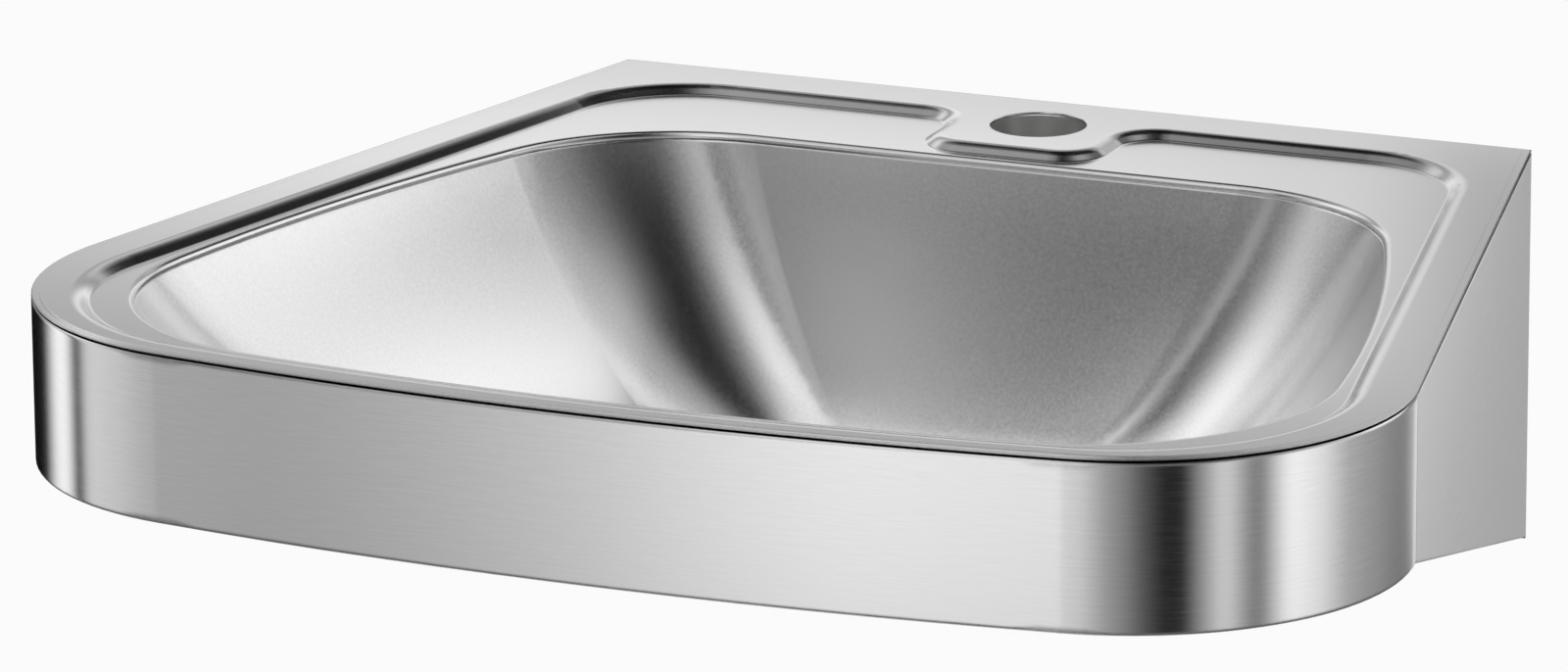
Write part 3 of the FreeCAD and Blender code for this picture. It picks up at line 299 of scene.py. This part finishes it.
def back_card_material():
    """The darker of two tones: one by height and one by place across."""
    material, nodes, links, place, light = glowing_material("back_card")
    by_height = tones_along(nodes, links, place["Z"], BACK_CARD_BY_HEIGHT)
    by_place = tones_along(nodes, links, place["X"], BACK_CARD_BY_PLACE)
    links.new(maths(nodes, links, "MINIMUM", by_height, by_place), light.inputs["Color"])
    return material


def front_card_material():
    """Pale on the left and dark on the right."""
    material, nodes, links, place, light = glowing_material("front_card")
    links.new(tones_along(nodes, links, place["X"], FRONT_CARD_BY_PLACE), light.inputs["Color"])
    return material


def ring_of(radius, height):
    """Points evenly round a level circle."""
    return [(radius * cos(2 * pi * n / STUDIO_SIDES), radius * sin(2 * pi * n / STUDIO_SIDES), height)
            for n in range(STUDIO_SIDES)]


def faces_between_rings():
    """Faces that join one ring of points to the next."""
    return [(n, (n + 1) % STUDIO_SIDES, (n + 1) % STUDIO_SIDES + STUDIO_SIDES, n + STUDIO_SIDES)
            for n in range(STUDIO_SIDES)]


def add_stage(name, points, faces, material):
    """A part of the studio, with its points given from the studio's centre."""
    mesh = bpy.data.meshes.new(name)
    mesh.from_pydata(points, [], faces)
    item = bpy.data.objects.new(name, mesh)
    item.location = (*STUDIO_CENTRE, 0)
    item.data.materials.append(material)
    bpy.context.scene.collection.objects.link(item)
    return item


def only_mirrored(item):
    """Shown by the metal, but neither seen nor lighting anything itself."""
    item.visible_camera = False
    item.visible_shadow = False
    item.visible_diffuse = False


def add_studio():
    """A round wall and a ceiling of soft light, which the camera doesn't see, and a pale floor."""
    bottom, top = ring_of(STUDIO_RADIUS, STUDIO_FOOT), ring_of(STUDIO_RADIUS, STUDIO_TOP)
    around = tuple(range(STUDIO_SIDES))
    lit = studio_wall_material()
    only_mirrored(add_stage("studio_wall", bottom + top, faces_between_rings(), lit))
    only_mirrored(add_stage("ceiling", top, [around], lit))
    add_stage("floor", ring_of(FLOOR_RADIUS, STUDIO_FOOT), [around], floor_material())


def add_cards():
    """Standing cards across the studio and a ring that lies under the basin."""
    edge_card_material, *_ = glowing_material("edge_card", EDGE_CARD_TONE)
    cards = {"side_card": (SIDE_CARD, side_card_material()),
             "back_card": (BACK_CARD, back_card_material()),
             "edge_card": (EDGE_CARD, edge_card_material),
             "front_card": (FRONT_CARD, front_card_material())}
    for name, ((behind, corners), material) in cards.items():
        points = [(x, behind, z) for x, z in corners]
        only_mirrored(add_stage(name, points, [tuple(range(len(points)))], material))
    under_ring_material, *_ = glowing_material("under_ring", UNDER_RING_TONE)
    rings = ring_of(UNDER_RING_INSIDE, UNDER_RING_HEIGHT) + ring_of(UNDER_RING_OUTSIDE, UNDER_RING_HEIGHT)
    only_mirrored(add_stage("under_ring", rings, faces_between_rings(), under_ring_material))


def seen_directly(nodes, links):
    """One where a ray comes from the camera, from metal or through glass."""
    path = nodes.new("ShaderNodeLightPath")
    seen = maths(nodes, links, "MAXIMUM", path.outputs["Is Camera Ray"], path.outputs["Is Glossy Ray"])
    return maths(nodes, links, "MAXIMUM", seen, path.outputs["Is Transmission Ray"])


def floor_material():
    """Pale floor that keeps a soft shadow but reads as white."""
    material, nodes, links, output = new_material("floor")
    matt = nodes.new("ShaderNodeBsdfDiffuse")
    set_sockets(matt, Color=FLOOR_WHITE)
    share = maths(nodes, links, "MULTIPLY", seen_directly(nodes, links), FLOOR_GLOW)
    mix_shaders(nodes, links, share, matt, nodes.new("ShaderNodeEmission"), output)
    return material


def set_world():
    """White wherever the camera, metal or glass sees past the studio, and plain light for the rest."""
    world = bpy.data.worlds.new("studio_white")
    bpy.context.scene.world = world
    world.use_nodes = True
    nodes, links = world.node_tree.nodes, world.node_tree.links
    nodes.clear()
    plain_light = nodes.new("ShaderNodeBackground")
    set_sockets(plain_light, Strength=PLAIN_LIGHT)
    white = nodes.new("ShaderNodeBackground")
    set_sockets(white, Color=WHITE)
    mix_shaders(nodes, links, seen_directly(nodes, links), plain_light, white,
                nodes.new("ShaderNodeOutputWorld"))


def set_camera():
    """The photograph's own view."""
    camera = bpy.data.cameras.new("camera")
    camera.sensor_width = SENSOR_MM
    camera.lens = LENS_MM
    camera.clip_end = CLIP_END
    view = bpy.data.objects.new("camera", camera)
    bpy.context.scene.collection.objects.link(view)
    back = Vector((sin(AZIMUTH) * cos(ELEVATION), -cos(AZIMUTH) * cos(ELEVATION), sin(ELEVATION)))
    right = (-back).cross(Vector((0, 0, 1))).normalized()
    up = right.cross(-back)
    across = right * cos(ROLL) + up * sin(ROLL)
    upward = up * cos(ROLL) - right * sin(ROLL)
    turn = Matrix((across, upward, back)).transposed()
    view.matrix_world = Matrix.Translation(TARGET + back * DISTANCE) @ turn.to_4x4()
    bpy.context.scene.camera = view


def grain_noise(nodes, links, place, grain):
    """Noise drawn out along the grain."""
    stretch = nodes.new("ShaderNodeMapping")
    set_sockets(stretch, Scale=grain)
    links.new(place, stretch.inputs["Vector"])
    noise = nodes.new("ShaderNodeTexNoise")
    set_sockets(noise, Scale=1.0, Detail=GRAIN_DETAIL)
    links.new(stretch.outputs[0], noise.inputs["Vector"])
    return noise.outputs["Fac"]


def painted_joint_shade(nodes, links, extra_painted_shade):
    """Painted shade as the share of colour kept: nought deep in a narrow joint and one in the open."""
    occlusion = nodes.new("ShaderNodeAmbientOcclusion")
    occlusion.samples = PAINTED_SHADE_SAMPLES
    set_sockets(occlusion, Distance=PAINTED_SHADE_REACH)
    # How closed in a place is becomes painted shade on the colour
    return map_range(nodes, links, occlusion.outputs["AO"],
                     From_Min=PAINTED_SHADE_FULL_AT + extra_painted_shade, From_Max=PAINTED_SHADE_CLEAR_AT + extra_painted_shade)


def softer_at(nodes, links, axis, spot, elsewhere):
    """A soft normal's reach: wider where the sheet is bent gently, by distance along an axis."""
    widest, middle, spread = spot
    away = maths(nodes, links, "ABSOLUTE", split_place(nodes, links)[axis])
    gap = maths(nodes, links, "ABSOLUTE", maths(nodes, links, "SUBTRACT", away, middle))
    return map_range(nodes, links, gap, From_Min=spread * FULL_SHARE, From_Max=spread,
                     To_Min=widest, To_Max=elsewhere)


def soften_edges(nodes, links, shader, reach):
    """A normal that turns softly at edges, within a reach that is a number or an output."""
    soften = nodes.new("ShaderNodeBevel")
    soften.samples = SOFT_EDGE_SAMPLES
    feed(links, soften.inputs["Radius"], reach)
    links.new(soften.outputs[0], shader.inputs["Normal"])


def brush_round(nodes, links, shader, strength):
    """Reflections drawn out across a grain that runs level round the basin."""
    along = nodes.new("ShaderNodeTangent")
    along.direction_type = "RADIAL"
    along.axis = "Z"
    links.new(along.outputs[0], shader.inputs["Tangent"])
    set_sockets(shader, Anisotropic=strength, Anisotropic_Rotation=QUARTER_TURN)


def satin_steel(name, roughness, color=STEEL_COLOR, grain=FINE_GRAIN, unevenness=UNEVENNESS, brushed=0.0,
                soft_edge=0.0, softest=None, extra_painted_shade=0.0):
    """Stainless steel with a grain, with shade painted into its colour in narrow joints."""
    material, nodes, links, output = new_material(name)
    shader = nodes.new("ShaderNodeBsdfPrincipled")
    links.new(shader.outputs[0], output.inputs["Surface"])
    set_sockets(shader, Metallic=1.0)
    noise = grain_noise(nodes, links, object_place(nodes), grain)
    rough = map_range(nodes, links, noise, From_Min=NOISE_LOW, From_Max=NOISE_HIGH,
                      To_Min=roughness * (1 - unevenness), To_Max=roughness * (1 + unevenness))
    links.new(rough, shader.inputs["Roughness"])
    tone = map_range(nodes, links, noise, From_Min=NOISE_LOW, From_Max=NOISE_HIGH,
                     To_Min=1 - unevenness, To_Max=1.0)
    # Grain tone times painted shade from the joints
    shade = maths(nodes, links, "MULTIPLY", tone, painted_joint_shade(nodes, links, extra_painted_shade))
    shaded = mix_colors(nodes, links, "MULTIPLY", 1.0, (*color, 1), shade)
    links.new(shaded, shader.inputs["Base Color"])
    if softest:
        soften_edges(nodes, links, shader, softer_at(nodes, links, *softest, soft_edge))
    elif soft_edge:
        soften_edges(nodes, links, shader, soft_edge)
    if brushed:
        brush_round(nodes, links, shader, brushed)
    return material


def plain(name, color, roughness, metallic=0.0):
    """A moulded or plated finish with a slight unevenness."""
    material, nodes, links, output = new_material(name)
    shader = nodes.new("ShaderNodeBsdfPrincipled")
    links.new(shader.outputs[0], output.inputs["Surface"])
    set_sockets(shader, Metallic=metallic, Base_Color=(*color, 1))
    noise = nodes.new("ShaderNodeTexNoise")
    set_sockets(noise, Scale=PLAIN_NOISE_SCALE, Detail=PLAIN_NOISE_DETAIL)
    links.new(object_place(nodes), noise.inputs["Vector"])
    rough = map_range(nodes, links, noise.outputs["Fac"], To_Min=roughness * (1 - PLAIN_UNEVENNESS),
                      To_Max=roughness * (1 + PLAIN_UNEVENNESS))
    links.new(rough, shader.inputs["Roughness"])
    return material


def give(material, *names):
    """A finish for each of these CAD nodes."""
    for name in names:
        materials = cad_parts[name].data.materials
        materials.clear()
        materials.append(material)


def dress():
    """The finish of every piece."""
    # The band's joints get deeper painted shade than the other steel
    give(satin_steel("satin_band", roughness=0.19, grain=BRUSHED_GRAIN, unevenness=0.09, brushed=0.8,
                     soft_edge=SOFT_EDGE, softest=("X", SOFT_BEND), extra_painted_shade=BAND_EXTRA_PAINTED_SHADE),
         "apron", "right_cheek", "left_cheek")
    give(satin_steel("satin_deck", roughness=0.17, soft_edge=DECK_SOFT_EDGE, softest=("Y", SOFT_FRONT)),
         "deck")
    give(satin_steel("satin_bowl", roughness=0.2, unevenness=0.1, soft_edge=SOFT_EDGE), "bowl")
    give(satin_steel("mill_steel", roughness=0.4, color=(0.66, 0.66, 0.65)),
         "seam_strips", "hanging_rail", "tap_plate")
    give(satin_steel("polished_steel", roughness=0.14, color=(0.82, 0.82, 0.81)), "waste_strainer")
    give(plain("zinc_plating", color=(0.62, 0.64, 0.66), roughness=0.45, metallic=1.0), "wall_bracket")
    give(plain("bright_fastener", color=(0.7, 0.7, 0.69), roughness=0.3, metallic=1.0),
         "locking_screws", "locking_nuts", "earth_stud", "earth_nut", "waste_screw")
    give(plain("brass", color=(0.80, 0.62, 0.28), roughness=0.3, metallic=1.0), "earth_washer")
    give(plain("damping_rubber", color=(0.03, 0.03, 0.032), roughness=0.8), "damping_pad")
    give(plain("waste_plastic", color=(0.84, 0.84, 0.82), roughness=0.5), "waste_body")
    give(plain("seal_rubber", color=(0.035, 0.035, 0.035), roughness=0.7),
         "waste_upper_seal", "waste_lower_seal")


bpy.context.scene.view_settings.view_transform = "Standard"
set_camera()
set_world()
add_studio()
add_cards()
dress()
